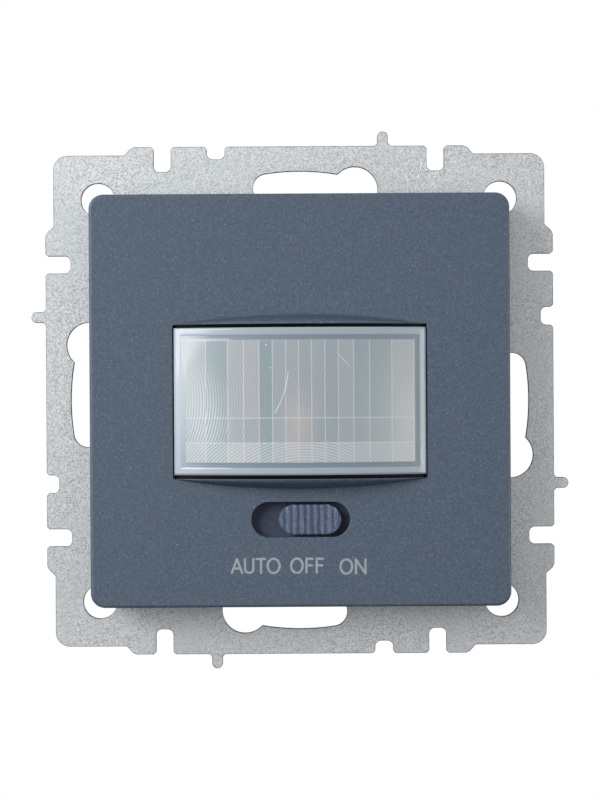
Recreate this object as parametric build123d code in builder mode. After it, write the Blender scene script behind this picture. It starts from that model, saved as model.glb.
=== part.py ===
from build123d import *
import math
import os

os.makedirs("parts", exist_ok=True)

# Motion sensor light switch for a flush wall box, all lengths in millimetres.
# The wall is the plane Y = 0, which the back of the steel support plate lies on.
# The front of the switch faces -Y, +Z is up, and the origin is the middle of the plate.
# A height is a distance from the wall towards the room, and a negative height is in the wall.

# Clearances
slip_gap = 0.3                  # between a piece and what it drops into or stands before
close_gap = 0.15                # between pieces that guide each other
thread_gap = 0.05               # around a screw in its own thread
overrun = 1.0                   # how far a cutting shape reaches past the material

# Support plate, stamped from galvanised sheet
plate_side = 71.0
plate_thickness = 1.0
plate_corner_radius = 2.0
tab_half_width = 23.4           # the middle of each edge stands proud of the corner zones
tab_step = 1.15
tab_slope_run = 1.0
ganging_notch_offset = 19.1
ganging_notch_width = 2.4
ganging_notch_depth = 3.5
index_notch_offset = 11.6
index_notch_width = 2.5
index_notch_depth = 1.75
notch_corner_radius = 0.8       # at the bottom of each notch
tumbled_corner = 0.35           # where a notch, the spike or a slope meets the edge
spike_offset = 11.75
spike_width = 1.5
spike_length = 2.0
box_screw_spacing = 60.0        # across the screws of a standard wall box
screw_slot_width = 4.0
slot_narrow_end_angle = 8.5     # degrees from the middle of the side
slot_wide_end_angle = 14.9
keyhole_radius = 3.2
keyhole_lift = 0.4
corner_hole_spacing = 56.2
corner_hole_radius = 2.35
opening_least_side = 44.0
opening_corner_radius = 8.0

# Chassis, the moulded carrier that is screwed to the front of the plate
flange_side = 49.0
flange_corner_radius = 2.5
flange_thickness = 1.2
body_side_gap = 0.4             # between the carrier's tube and the opening in the plate
tube_wall = 1.5
catch_below_front = 0.8         # from the tube's front edge down to the ledges for the hooks
catch_thickness = 1.0
catch_proud = 0.8
catch_length = 7.0
stop_side = 6.0                 # the square corner stops that hold the sensor board
stop_bite = 1.1                 # how far a stop or post runs into the corner's wall
chassis_screw_offset = 22.1     # from the middle to both sides
chassis_screw_radius = 1.0
chassis_screw_head_radius = 1.8
chassis_screw_head_height = 1.2
chassis_screw_short = 0.1       # the screw ends stay this far inside the plate's back

# Front cover
cover_width = 57.5
cover_height = 56.5
cover_rise = 9.5                # front face above the front of the plate
cover_wall = 1.5
cover_corner_radius = 2.0
cover_edge_radius = 0.4
window_width = 34.7
window_height = 21.0
window_drop = 0.15              # the window's middle below the middle of the plate
brow_sag = 3.6                  # how far the brows bulge forward in the middle
brow_height = 1.4               # how far they reach above and below the window
brow_lip = 0.6                  # the part of that height next to the window, which leans back gently
brow_lip_fall = 0.45            # how far it leans back
knob_slot_length = 13.5
knob_slot_width = 4.8
knob_slot_below = 5.65          # from the window's lower edge to the middle of the slot
hook_width = 5.0
hook_thickness = 1.2
hook_barb_height = 0.9
hook_spacing = 22.0
stake_width = 2.4               # the tongues that hold the inner frame, melted over behind it
stake_thickness = 1.6
stake_spacing = 30.0
stake_head_overlap = 0.5
stake_head_height = 0.6
rail_width = 0.8
rail_length = 24.0

# Lens
lens_wall = 1.0
lens_side_gap = 0.15
lens_edge_gap = 0.4             # above and below
lens_proud = 0.3                # of the brows
lens_edge = 0.25                # the slanted edge of the lens's front
lens_flange = 1.2
lens_flange_thickness = 0.9
lens_rim = 0.75                 # the raised rim around the lens
lens_channel = 0.9              # the sunk band between the rim and the facets
lens_relief = 0.25
facet_groove = 0.14
facet_relief = 0.1
lower_row_share = 0.167         # rows of facets as shares of the facet field's height
middle_row_share = 0.206
column_shares = [0.0565, 0.0585, 0.0585, 0.068, 0.07, 0.098]   # from the middle outwards

# Inner frame behind the cover
frame_width = 43.0
frame_margin = 1.0              # outside the tongues
frame_thickness = 1.1
frame_corner_radius = 2.0

# Slider
knob_length = 8.5
knob_width = 4.1
knob_rest = 1.3                 # right of the middle of its slot
knob_proud = 0.3                # of the cover's front face
rib_count = 9
rib_pitch = 0.94
rib_width = 0.5
rib_height = 0.4
slide_plate_length = 21.5
slide_plate_width = 7.0
slide_plate_thickness = 0.9
fork_wall = 1.2
fork_width = 3.0
switch_pitch = 2.0              # between the three detents

# Circuit boards
board_gap = 0.4                 # around the boards
board_thickness = 1.6
sensor_board_height = -1.4      # front face of the sensor board
power_board_height = -9.5       # front face of the power board

# Slide switch on the sensor board
switch_length = 14.0
switch_width = 5.6
switch_body_height = 5.4
lever_length = 3.0
lever_width = 2.0
lever_reach = 2.6
lever_root = 1.2
lever_edge = 0.25
lever_slot_margin = 0.3
switch_pin_side = 0.7
switch_pin_count = 4
switch_pin_pitch = 3.0
switch_pin_reach = 1.2          # behind the board

# Infrared sensor, light sensor and indicator
can_radius = 4.1
can_height = 4.2
can_rim_radius = 4.6
can_rim_height = 0.6
can_window_width = 4.2
can_window_height = 3.2
can_window_depth = 0.4
eye_radius = 1.5
eye_height = 3.6
light_sensor_x = -8.0
indicator_x = 8.0
eye_z = 5.0
dome_share = 0.4                # the slanted edge as a share of the eye's radius

# Trimmers for the delay and the daylight threshold
trimmer_side = 6.0
trimmer_height = 2.6
trimmer_x = 9.5
trimmer_z = 13.0
dial_radius = 2.1
dial_thickness = 1.0
dial_sunk = 0.6
dial_slot_width = 0.6
dial_slot_depth = 0.5

# Control chip and the pins between the boards
chip_length = 8.7
chip_width = 3.9
chip_height = 1.6
chip_leg_pitch = 1.27
chip_leg_count = 7
chip_leg_width = 0.42
chip_leg_reach = 1.0
chip_leg_thickness = 0.25
header_pitch = 2.54
header_count = 5
header_pin_side = 0.64
header_block_height = 2.5
header_z = 17.0

# Rear housing
cup_room = 1.7                  # between the tallest part on the power board and the cup's floor
cup_floor = 1.6
cup_edge = 1.2
board_rest_width = 2.0
board_rest_depth = 1.4
board_rest_spacing = 12.0
housing_screw_radius = 1.1
housing_screw_head_radius = 2.0
housing_screw_head_height = 1.5
housing_screw_bite = 2.2        # into the carrier's stops
counterbore_depth = 9.0
screw_recess_share = 0.3        # a driver recess as a share of its screw head's radius

# Power supply parts on the rear of the power board
relay_length = 17.5
relay_width = 10.0
relay_height = 10.6
relay_x = -8.6
relay_z = 7.7
electrolytic_radius = 4.0
electrolytic_height = 10.4
electrolytic_x = 6.0
electrolytic_z = 11.0
film_length = 13.0
film_width = 5.0
film_height = 10.0
film_x = -9.5
film_z = -1.0
varistor_radius = 3.8
varistor_thickness = 3.2
varistor_lead_rise = 1.0
varistor_x = 14.0
varistor_z = 7.5
fusible_radius = 1.7
fusible_length = 8.5
fusible_x = 5.0
fusible_z = 2.0
diode_length = 4.3
diode_width = 2.6
diode_height = 2.2
diode_tab_width = 1.4
diode_tab_reach = 0.5
diode_x = 7.5
diode_z = -4.8
diode_pitch_x = 8.0
diode_pitch_z = 3.6
transistor_radius = 2.4
transistor_flat = 1.2
transistor_height = 4.6
transistor_lead_rise = 1.0
transistor_lead_pitch = 1.27
transistor_lead_count = 3
transistor_x = 14.5
transistor_z = 0.9
lead_side = 0.5
part_edge = 0.5                 # the slanted edges of the relay, the capacitors and other parts

# Terminals, low at the rear
terminal_count = 3
terminal_pitch = 7.0
terminal_margin = 1.0
terminal_block_height = 9.6
terminal_recess = 0.5           # behind the cup's rear face
wire_entry_radius = 1.6
wire_entry_length = 4.5
clamp_width = 4.8
clamp_rise = 5.6
clamp_depth = 4.4
clamp_wall = 0.8
clamp_screw_radius = 1.3
clamp_screw_length = 3.2
clamp_screw_head_radius = 1.8
clamp_screw_head_height = 1.4
clamp_screw_recess = 0.4

# Heights that follow from the sizes above
flange_front = plate_thickness + flange_thickness
cover_front = plate_thickness + cover_rise
cover_inside = cover_front - cover_wall
cover_rear = plate_thickness + slip_gap
lens_front = cover_front + lens_proud
lens_flange_front = cover_inside - close_gap
lens_rear = lens_flange_front - lens_flange_thickness
knob_front = cover_front + knob_proud
slide_plate_front = cover_inside - close_gap
slide_plate_rear = slide_plate_front - slide_plate_thickness
frame_front = min(lens_rear, slide_plate_rear) - close_gap
frame_rear = frame_front - frame_thickness
tube_front = frame_rear - slip_gap
catch_front = tube_front - catch_below_front
catch_rear = catch_front - catch_thickness
sensor_board_rear = sensor_board_height - board_thickness
tube_rear = sensor_board_rear
power_board_rear = power_board_height - board_thickness
switch_front = sensor_board_height + switch_body_height
lever_front = switch_front + lever_reach
tallest_part = max(relay_height, electrolytic_height, film_height)
cup_inside = power_board_rear - tallest_part - cup_room
cup_rear = cup_inside - cup_floor
cup_depth = tube_rear - cup_rear
screw_seat = cup_rear + counterbore_depth
terminal_rear = cup_rear + terminal_recess
clamp_rear = terminal_rear + wire_entry_length + slip_gap
can_front = sensor_board_height + can_height
trimmer_front = sensor_board_height + trimmer_height

# Widths and places that follow from the sizes above
knob_slot_drop = window_drop + window_height / 2 + knob_slot_below
switch_room = knob_slot_drop + switch_width / 2 + slip_gap + tube_wall + body_side_gap
opening_side = max(opening_least_side, 2 * switch_room)
body_side = opening_side - 2 * body_side_gap
body_corner_radius = opening_corner_radius - body_side_gap
inside_side = body_side - 2 * tube_wall
inside_corner_radius = body_corner_radius - tube_wall
board_side = inside_side - 2 * board_gap
board_corner_radius = inside_corner_radius - board_gap
stop_reach = (inside_corner_radius + stop_bite) / math.sqrt(2)
stop_place = inside_side / 2 - inside_corner_radius + stop_reach - stop_side / 2
chip_z = -(window_drop + can_rim_radius + knob_slot_drop - switch_width / 2) / 2
stake_head_width = stake_width + 2 * stake_head_overlap
stake_head_thickness = stake_thickness + 2 * stake_head_overlap
stake_rows = body_side + 2 * slip_gap + stake_head_thickness
frame_height = stake_rows + stake_thickness + 2 * frame_margin
lens_width = window_width - 2 * lens_side_gap
lens_height = window_height - 2 * lens_edge_gap
rim_and_channel = lens_rim + lens_channel
facet_field_width = lens_width - 2 * rim_and_channel
facet_field_height = lens_height - 2 * rim_and_channel
terminal_width = terminal_count * terminal_pitch + 2 * terminal_margin
terminal_bottom = -body_side / 2
terminal_middle = terminal_bottom + terminal_block_height / 2
clamp_bottom = terminal_middle - clamp_rise / 2
chassis_screw_places = [(side * chassis_screw_offset, -side * chassis_screw_offset) for side in (1, -1)]
housing_screw_places = [(side * stop_place, side * stop_place) for side in (1, -1)]


def at(height):
    """The plane parallel to the wall at a height, seen from the front with +Z up."""
    return Plane.XZ.offset(height)


def bulge(half_width, base, front, sag):
    """Outline seen from above: straight sides, and a front that bows out by the sag."""
    with BuildSketch(mode=Mode.PRIVATE) as outline:
        with BuildLine():
            Polyline((-half_width, -front), (-half_width, -base), (half_width, -base), (half_width, -front))
            ThreePointArc((half_width, -front), (0, -front - sag), (-half_width, -front))
        make_face()
    return outline.sketch


# The curved slot for a box screw, with the keyhole that passes the screw's head, on the plate's upper side
keyhole_reach = box_screw_spacing / 2 + keyhole_lift
slot_sweep = slot_narrow_end_angle + slot_wide_end_angle
slot_start = 90 - slot_wide_end_angle
keyhole_x = keyhole_reach * math.cos(math.radians(slot_start))
keyhole_z = keyhole_reach * math.sin(math.radians(slot_start))
with BuildSketch() as screw_slot:
    SlotArc(CenterArc((0, 0), box_screw_spacing / 2, slot_start, slot_sweep), screw_slot_width)
    with Locations((keyhole_x, keyhole_z)):
        Circle(keyhole_radius)

# Support plate. Its four sides are alike, each a quarter turn on from the last.
half_side = plate_side / 2
with BuildPart() as support_plate:
    with BuildSketch(at(0)) as plate_outline:
        RectangleRounded(plate_side - 2 * tab_step, plate_side - 2 * tab_step, plate_corner_radius)
        with PolarLocations(0, 4):
            # The proud middle of the edge, with sloped ends
            Polygon(
                (-tab_half_width - tab_slope_run, half_side - tab_step),
                (-tab_half_width, half_side),
                (tab_half_width, half_side),
                (tab_half_width + tab_slope_run, half_side - tab_step),
                (tab_half_width, half_side - 2 * tab_step),
                (-tab_half_width, half_side - 2 * tab_step),
                align=None,
            )
            # The ganging spike with its round tip
            with Locations((spike_offset, half_side)):
                SlotOverall(2 * spike_length, spike_width, rotation=90)
            # Two ganging notches and the index notch
            with Locations((-ganging_notch_offset, half_side), (ganging_notch_offset, half_side)):
                RectangleRounded(
                    ganging_notch_width, 2 * ganging_notch_depth, notch_corner_radius, mode=Mode.SUBTRACT
                )
            with Locations((-index_notch_offset, half_side)):
                RectangleRounded(
                    index_notch_width, 2 * index_notch_depth, notch_corner_radius, mode=Mode.SUBTRACT
                )
            add(screw_slot.sketch, mode=Mode.SUBTRACT)
        with GridLocations(corner_hole_spacing, corner_hole_spacing, 2, 2):
            Circle(corner_hole_radius, mode=Mode.SUBTRACT)
        with Locations(*chassis_screw_places):
            Circle(chassis_screw_radius + thread_gap, mode=Mode.SUBTRACT)
        # The corners where the notches, the spike and the slopes meet the edge are tumbled
        chamfer(
            plate_outline.vertices().filter_by(lambda v: math.isclose(max(abs(v.X), abs(v.Y)), half_side)),
            tumbled_corner,
        )
        RectangleRounded(opening_side, opening_side, opening_corner_radius, mode=Mode.SUBTRACT)
    extrude(amount=plate_thickness)
support_plate.part.label = "support_plate"
export_step(support_plate.part, "parts/support_plate.step")

# Chassis: a flange on the plate and a tube through the plate's opening
with BuildPart() as chassis:
    with BuildSketch(at(plate_thickness)):
        RectangleRounded(flange_side, flange_side, flange_corner_radius)
    extrude(amount=flange_thickness)
    with BuildSketch(at(tube_rear)):
        RectangleRounded(body_side, body_side, body_corner_radius)
    extrude(amount=tube_front - tube_rear)
    # Ledges on both sides for the hooks of the cover
    ledge_width = catch_proud + tube_wall / 2
    with BuildSketch(at(catch_rear)):
        with GridLocations(body_side + 2 * catch_proud - ledge_width, hook_spacing, 2, 2):
            Rectangle(ledge_width, catch_length)
    extrude(amount=catch_thickness)
    with BuildSketch(at(tube_rear)):
        RectangleRounded(inside_side, inside_side, inside_corner_radius)
    extrude(amount=tube_front - tube_rear, mode=Mode.SUBTRACT)
    # Stops in the corners, which press on the front of the sensor board
    with BuildSketch(at(sensor_board_height)):
        with GridLocations(2 * stop_place, 2 * stop_place, 2, 2):
            Rectangle(stop_side, stop_side)
    extrude(amount=flange_front - sensor_board_height)
    with BuildSketch(at(sensor_board_height)):
        with Locations(*housing_screw_places):
            Circle(housing_screw_radius + thread_gap)
    extrude(amount=housing_screw_bite + slip_gap, mode=Mode.SUBTRACT)
    with BuildSketch(at(plate_thickness)):
        with Locations(*chassis_screw_places):
            Circle(chassis_screw_radius + close_gap)
    extrude(amount=flange_thickness, mode=Mode.SUBTRACT)
chassis.part.label = "chassis"
export_step(chassis.part, "parts/chassis.step")

# Two pan-head screws through the flange into the plate
with BuildPart() as chassis_screws:
    with BuildSketch(at(flange_front)):
        with Locations(*chassis_screw_places):
            Circle(chassis_screw_head_radius)
    extrude(amount=chassis_screw_head_height)
    with BuildSketch(at(chassis_screw_short)):
        with Locations(*chassis_screw_places):
            Circle(chassis_screw_radius)
    extrude(amount=flange_front - chassis_screw_short)
    recess = chassis_screw_head_radius * screw_recess_share
    with BuildSketch(at(flange_front + chassis_screw_head_height)):
        with Locations(*chassis_screw_places):
            Rectangle(chassis_screw_head_radius, recess)
            Rectangle(recess, chassis_screw_head_radius)
    extrude(amount=-recess, mode=Mode.SUBTRACT)
chassis_screws.part.label = "chassis_screws"
export_step(chassis_screws.part, "parts/chassis_screws.step")

# Front cover: a shallow moulded box, open at the back
window_edges = [(-window_drop + window_height / 2, 1), (-window_drop - window_height / 2, -1)]
with BuildPart() as front_cover:
    with BuildSketch(at(cover_rear)):
        RectangleRounded(cover_width, cover_height, cover_corner_radius)
    extrude(amount=cover_front - cover_rear)
    fillet(front_cover.edges().group_by(Axis.Y)[0], cover_edge_radius)
    # The brows: the bowed outline leans back to nothing as it leaves the window, gently and then steeply
    steep_height = brow_height - brow_lip
    steep_fall = brow_sag - brow_lip_fall
    for edge_z, side in window_edges:
        with BuildSketch(Plane.XY.offset(edge_z)):
            add(bulge(window_width / 2, cover_front - cover_wall / 2, cover_front, brow_sag))
        extrude(dir=(0, brow_lip_fall, side * brow_lip), amount=math.hypot(brow_lip_fall, brow_lip))
        with BuildSketch(Plane.XY.offset(edge_z + side * brow_lip)):
            with Locations((0, brow_lip_fall)):
                add(bulge(window_width / 2, cover_front - cover_wall / 2, cover_front, brow_sag))
        extrude(dir=(0, steep_fall, side * steep_height), amount=math.hypot(steep_fall, steep_height))
    with BuildSketch(at(cover_rear)):
        RectangleRounded(
            cover_width - 2 * cover_wall, cover_height - 2 * cover_wall, cover_corner_radius - cover_wall / 2
        )
    extrude(amount=cover_inside - cover_rear, mode=Mode.SUBTRACT)
    with BuildSketch(at(cover_inside)):
        with Locations((0, -window_drop)):
            Rectangle(window_width, window_height)
        with Locations((0, -knob_slot_drop)):
            SlotOverall(knob_slot_length, knob_slot_width)
    extrude(amount=cover_wall + brow_sag + overrun, mode=Mode.SUBTRACT)
    # Hooks that snap under the carrier's ledges
    hook_rear = catch_rear - slip_gap - hook_barb_height
    hook_inner_x = body_side / 2 + catch_proud + slip_gap
    with BuildSketch(at(hook_rear)):
        with GridLocations(2 * hook_inner_x + hook_thickness, hook_spacing, 2, 2):
            Rectangle(hook_thickness, hook_width)
    extrude(amount=cover_inside - hook_rear)
    barb_width = catch_proud + hook_thickness / 2
    with BuildSketch(at(hook_rear)):
        with GridLocations(body_side + 2 * slip_gap + barb_width, hook_spacing, 2, 2):
            Rectangle(barb_width, hook_width)
    extrude(amount=hook_barb_height)
    # Rails above and below the slider's plate
    rail_spacing = slide_plate_width + 2 * close_gap + rail_width
    with BuildSketch(at(slide_plate_rear)):
        with Locations((0, -knob_slot_drop)):
            with GridLocations(0, rail_spacing, 1, 2):
                Rectangle(rail_length, rail_width)
    extrude(amount=cover_inside - slide_plate_rear)
    # Tongues through the inner frame, with heads melted over behind it
    with BuildSketch(at(frame_rear)):
        with GridLocations(stake_spacing, stake_rows, 2, 2):
            Rectangle(stake_width, stake_thickness)
    extrude(amount=cover_inside - frame_rear)
    with BuildSketch(at(frame_rear)):
        with GridLocations(stake_spacing, stake_rows, 2, 2):
            Rectangle(stake_head_width, stake_head_thickness)
    extrude(amount=-stake_head_height)
front_cover.part.label = "front_cover"
export_step(front_cover.part, "parts/front_cover.step")

# What is sunk into the lens: the band inside its rim, and the grooves between its facets
inner_rim_width = lens_width - 2 * lens_rim
inner_rim_height = lens_height - 2 * lens_rim
facet_bottom = -facet_field_height / 2
row_lines = [
    facet_bottom + lower_row_share * facet_field_height,
    facet_bottom + (lower_row_share + middle_row_share) * facet_field_height,
]
column_lines = [0]
for share in column_shares:
    column_lines += [column_lines[-1] + share * facet_field_width]
with BuildPart() as sunk_band:
    with BuildSketch(at(cover_front)):
        with Locations((0, -window_drop)):
            Rectangle(inner_rim_width, inner_rim_height)
            Rectangle(facet_field_width, facet_field_height, mode=Mode.SUBTRACT)
    extrude(amount=lens_proud + brow_sag + overrun)
    with BuildSketch(Plane.XY.offset(-window_drop - lens_height / 2), mode=Mode.PRIVATE) as behind_band:
        add(bulge(lens_width / 2, 0, lens_front - lens_relief, brow_sag))
    extrude(behind_band.sketch, amount=lens_height, mode=Mode.SUBTRACT)
with BuildPart() as facet_grooves:
    with BuildSketch(at(cover_front)):
        with Locations([(x * side, -window_drop) for x in column_lines for side in (1, -1)]):
            Rectangle(facet_groove, facet_field_height)
        with Locations([(0, z - window_drop) for z in row_lines]):
            Rectangle(facet_field_width, facet_groove)
    extrude(amount=lens_proud + brow_sag + overrun)
    with BuildSketch(Plane.XY.offset(-window_drop - lens_height / 2), mode=Mode.PRIVATE) as behind_grooves:
        add(bulge(lens_width / 2, 0, lens_front - facet_relief, brow_sag))
    extrude(behind_grooves.sketch, amount=lens_height, mode=Mode.SUBTRACT)

# Fresnel lens: a bowed shell with a raised rim, and a flange behind the cover's window
with BuildPart() as fresnel_lens:
    with BuildSketch(Plane.XY.offset(-window_drop - lens_height / 2)):
        add(bulge(lens_width / 2, lens_rear, lens_front, brow_sag))
    extrude(amount=lens_height)
    chamfer(fresnel_lens.faces().sort_by(Axis.Y)[0].edges(), lens_edge)
    with BuildSketch(at(lens_rear)):
        with Locations((0, -window_drop)):
            Rectangle(lens_width + 2 * lens_flange, lens_height + 2 * lens_flange)
    extrude(amount=lens_flange_thickness)
    with BuildSketch(Plane.XY.offset(-window_drop - lens_height / 2 + lens_wall)):
        add(bulge(lens_width / 2 - lens_wall, lens_rear, lens_front - lens_wall, brow_sag))
    extrude(amount=lens_height - 2 * lens_wall, mode=Mode.SUBTRACT)
    add(sunk_band.part, mode=Mode.SUBTRACT)
    add(facet_grooves.part, mode=Mode.SUBTRACT)
fresnel_lens.part.label = "fresnel_lens"
export_step(fresnel_lens.part, "parts/fresnel_lens.step")

# Inner frame: holds the lens and the slider against the back of the cover
fork_reach = lever_length / 2 + close_gap + fork_wall
with BuildPart() as inner_frame:
    with BuildSketch(at(frame_rear)):
        RectangleRounded(frame_width, frame_height, frame_corner_radius)
        with Locations((0, -window_drop)):
            Rectangle(lens_width - 2 * lens_wall, lens_height - 2 * lens_wall, mode=Mode.SUBTRACT)
        with Locations((0, -knob_slot_drop)):
            Rectangle(
                2 * (fork_reach + switch_pitch + slip_gap), fork_width + 2 * slip_gap, mode=Mode.SUBTRACT
            )
        with GridLocations(stake_spacing, stake_rows, 2, 2):
            Rectangle(stake_width + 2 * close_gap, stake_thickness + 2 * close_gap, mode=Mode.SUBTRACT)
    extrude(amount=frame_thickness)
inner_frame.part.label = "inner_frame"
export_step(inner_frame.part, "parts/inner_frame.step")

# Slider: a ribbed pad in the slot, a plate that closes the slot, and a fork on the lever
with BuildPart() as slider_knob:
    with BuildSketch(at(slide_plate_rear)):
        with Locations((knob_rest, -knob_slot_drop)):
            Rectangle(slide_plate_length, slide_plate_width)
    extrude(amount=slide_plate_thickness)
    with BuildSketch(at(slide_plate_rear)):
        with Locations((knob_rest, -knob_slot_drop)):
            SlotOverall(knob_length, knob_width)
    extrude(amount=knob_front - rib_height - slide_plate_rear)
    with BuildSketch(at(knob_front - rib_height)):
        with Locations((knob_rest, -knob_slot_drop)):
            with GridLocations(rib_pitch, 0, rib_count, 1):
                Rectangle(rib_width, knob_width)
            SlotOverall(knob_length, knob_width, mode=Mode.INTERSECT)
    extrude(amount=rib_height)
    with BuildSketch(at(switch_front + slip_gap)):
        with Locations((knob_rest, -knob_slot_drop)):
            with GridLocations(2 * fork_reach - fork_wall, 0, 2, 1):
                Rectangle(fork_wall, fork_width)
    extrude(amount=slide_plate_rear - switch_front - slip_gap)
slider_knob.part.label = "slider_knob"
export_step(slider_knob.part, "parts/slider_knob.step")

# Slide switch: body, lever and pins
with BuildPart() as slide_switch_body:
    with BuildSketch(at(sensor_board_height)):
        with Locations((0, -knob_slot_drop)):
            Rectangle(switch_length, switch_width)
    extrude(amount=switch_body_height)
    with BuildSketch(at(switch_front)):
        with Locations((0, -knob_slot_drop)):
            Rectangle(
                lever_length + 2 * (switch_pitch + lever_slot_margin), lever_width + 2 * lever_slot_margin
            )
    extrude(amount=-lever_root - slip_gap, mode=Mode.SUBTRACT)
slide_switch_body.part.label = "slide_switch_body"
export_step(slide_switch_body.part, "parts/slide_switch_body.step")

with BuildPart() as slide_switch_lever:
    with BuildSketch(at(switch_front - lever_root)):
        with Locations((knob_rest, -knob_slot_drop)):
            Rectangle(lever_length, lever_width)
    extrude(amount=lever_front - switch_front + lever_root)
    chamfer(slide_switch_lever.edges().group_by(Axis.Y)[0], lever_edge)
slide_switch_lever.part.label = "slide_switch_lever"
export_step(slide_switch_lever.part, "parts/slide_switch_lever.step")

with BuildPart() as slide_switch_pins:
    with BuildSketch(at(sensor_board_height)):
        with Locations((0, -knob_slot_drop)):
            with GridLocations(switch_pin_pitch, 0, switch_pin_count, 1):
                Rectangle(switch_pin_side, switch_pin_side)
    extrude(amount=-board_thickness - switch_pin_reach)
slide_switch_pins.part.label = "slide_switch_pins"
export_step(slide_switch_pins.part, "parts/slide_switch_pins.step")

# Sensor board, held between the carrier's stops and the cup's posts
pin_hole_side = switch_pin_side + 2 * thread_gap
with BuildPart() as sensor_board:
    with BuildSketch(at(sensor_board_rear)):
        RectangleRounded(board_side, board_side, board_corner_radius)
        with Locations(*housing_screw_places):
            Circle(housing_screw_radius + slip_gap, mode=Mode.SUBTRACT)
        with Locations((0, -knob_slot_drop)):
            with GridLocations(switch_pin_pitch, 0, switch_pin_count, 1):
                Rectangle(pin_hole_side, pin_hole_side, mode=Mode.SUBTRACT)
    extrude(amount=board_thickness)
sensor_board.part.label = "sensor_board"
export_step(sensor_board.part, "parts/sensor_board.step")

# Infrared sensor: a rimmed metal can with a window in its front
with BuildPart() as pir_sensor:
    with BuildSketch(at(sensor_board_height)):
        with Locations((0, -window_drop)):
            Circle(can_radius)
    extrude(amount=can_height)
    chamfer(pir_sensor.edges().group_by(Axis.Y)[0], part_edge)
    with BuildSketch(at(sensor_board_height)):
        with Locations((0, -window_drop)):
            Circle(can_rim_radius)
    extrude(amount=can_rim_height)
    with BuildSketch(at(can_front)):
        with Locations((0, -window_drop)):
            Rectangle(can_window_width, can_window_height)
    extrude(amount=-can_window_depth, mode=Mode.SUBTRACT)
pir_sensor.part.label = "pir_sensor"
export_step(pir_sensor.part, "parts/pir_sensor.step")

with BuildPart() as pir_window:
    with BuildSketch(at(can_front - can_window_depth)):
        with Locations((0, -window_drop)):
            Rectangle(can_window_width - 2 * thread_gap, can_window_height - 2 * thread_gap)
    extrude(amount=can_window_depth - thread_gap)
pir_window.part.label = "pir_window"
export_step(pir_window.part, "parts/pir_window.step")


def clear_eye(x):
    """A small clear cylinder with a slanted edge on top, on the sensor board."""
    with BuildPart() as eye:
        with BuildSketch(at(sensor_board_height)):
            with Locations((x, eye_z)):
                Circle(eye_radius)
        extrude(amount=eye_height)
        chamfer(eye.edges().group_by(Axis.Y)[0], eye_radius * dome_share)
    return eye


light_sensor = clear_eye(light_sensor_x)
light_sensor.part.label = "light_sensor"
export_step(light_sensor.part, "parts/light_sensor.step")

indicator_led = clear_eye(indicator_x)
indicator_led.part.label = "indicator_led"
export_step(indicator_led.part, "parts/indicator_led.step")


def trimmer_body(x):
    """A square trimmer with a round well for its dial."""
    with BuildPart() as body:
        with BuildSketch(at(sensor_board_height)):
            with Locations((x, trimmer_z)):
                Rectangle(trimmer_side, trimmer_side)
        extrude(amount=trimmer_height)
        with BuildSketch(at(trimmer_front)):
            with Locations((x, trimmer_z)):
                Circle(dial_radius + slip_gap)
        extrude(amount=-dial_sunk, mode=Mode.SUBTRACT)
    return body


def trimmer_dial(x):
    """A dial with a screwdriver slot and a notch that points up at mid-range."""
    dial_rear = trimmer_front - dial_sunk + thread_gap
    with BuildPart() as dial:
        with BuildSketch(at(dial_rear)):
            with Locations((x, trimmer_z)):
                Circle(dial_radius)
        extrude(amount=dial_thickness)
        with BuildSketch(at(dial_rear + dial_thickness)):
            with Locations((x, trimmer_z)):
                Rectangle(dial_slot_width, 2 * dial_radius)
                with Locations((0, dial_radius / 2)):
                    Rectangle(2 * dial_slot_width, dial_slot_width)
        extrude(amount=-dial_slot_depth, mode=Mode.SUBTRACT)
    return dial


time_trimmer_body = trimmer_body(-trimmer_x)
time_trimmer_body.part.label = "time_trimmer_body"
export_step(time_trimmer_body.part, "parts/time_trimmer_body.step")

time_trimmer_dial = trimmer_dial(-trimmer_x)
time_trimmer_dial.part.label = "time_trimmer_dial"
export_step(time_trimmer_dial.part, "parts/time_trimmer_dial.step")

lux_trimmer_body = trimmer_body(trimmer_x)
lux_trimmer_body.part.label = "lux_trimmer_body"
export_step(lux_trimmer_body.part, "parts/lux_trimmer_body.step")

lux_trimmer_dial = trimmer_dial(trimmer_x)
lux_trimmer_dial.part.label = "lux_trimmer_dial"
export_step(lux_trimmer_dial.part, "parts/lux_trimmer_dial.step")

# Control chip with a row of legs along both long sides
with BuildPart() as control_chip:
    with BuildSketch(at(sensor_board_height + chip_leg_thickness)):
        with Locations((0, chip_z)):
            Rectangle(chip_length, chip_width)
    extrude(amount=chip_height - chip_leg_thickness)
    with BuildSketch(at(sensor_board_height)):
        with Locations((0, chip_z)):
            with GridLocations(chip_leg_pitch, chip_width + chip_leg_reach, chip_leg_count, 2):
                Rectangle(chip_leg_width, chip_leg_reach)
    extrude(amount=chip_leg_thickness)
    with BuildSketch(at(sensor_board_height)):
        with Locations((0, chip_z)):
            with GridLocations(chip_leg_pitch, chip_width + chip_leg_thickness, chip_leg_count, 2):
                Rectangle(chip_leg_width, chip_leg_thickness)
    extrude(amount=chip_height / 2)
control_chip.part.label = "control_chip"
export_step(control_chip.part, "parts/control_chip.step")

# The row of pins between the boards, in its moulded strip
with BuildPart() as board_header:
    with BuildSketch(at(sensor_board_rear)):
        with Locations((0, header_z)):
            Rectangle(header_count * header_pitch, header_pitch)
    extrude(amount=-header_block_height)
    with BuildSketch(at(power_board_height)):
        with Locations((0, header_z)):
            with GridLocations(header_pitch, 0, header_count, 1):
                Rectangle(header_pin_side, header_pin_side)
    extrude(amount=sensor_board_rear - power_board_height)
board_header.part.label = "board_header"
export_step(board_header.part, "parts/board_header.step")

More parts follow.
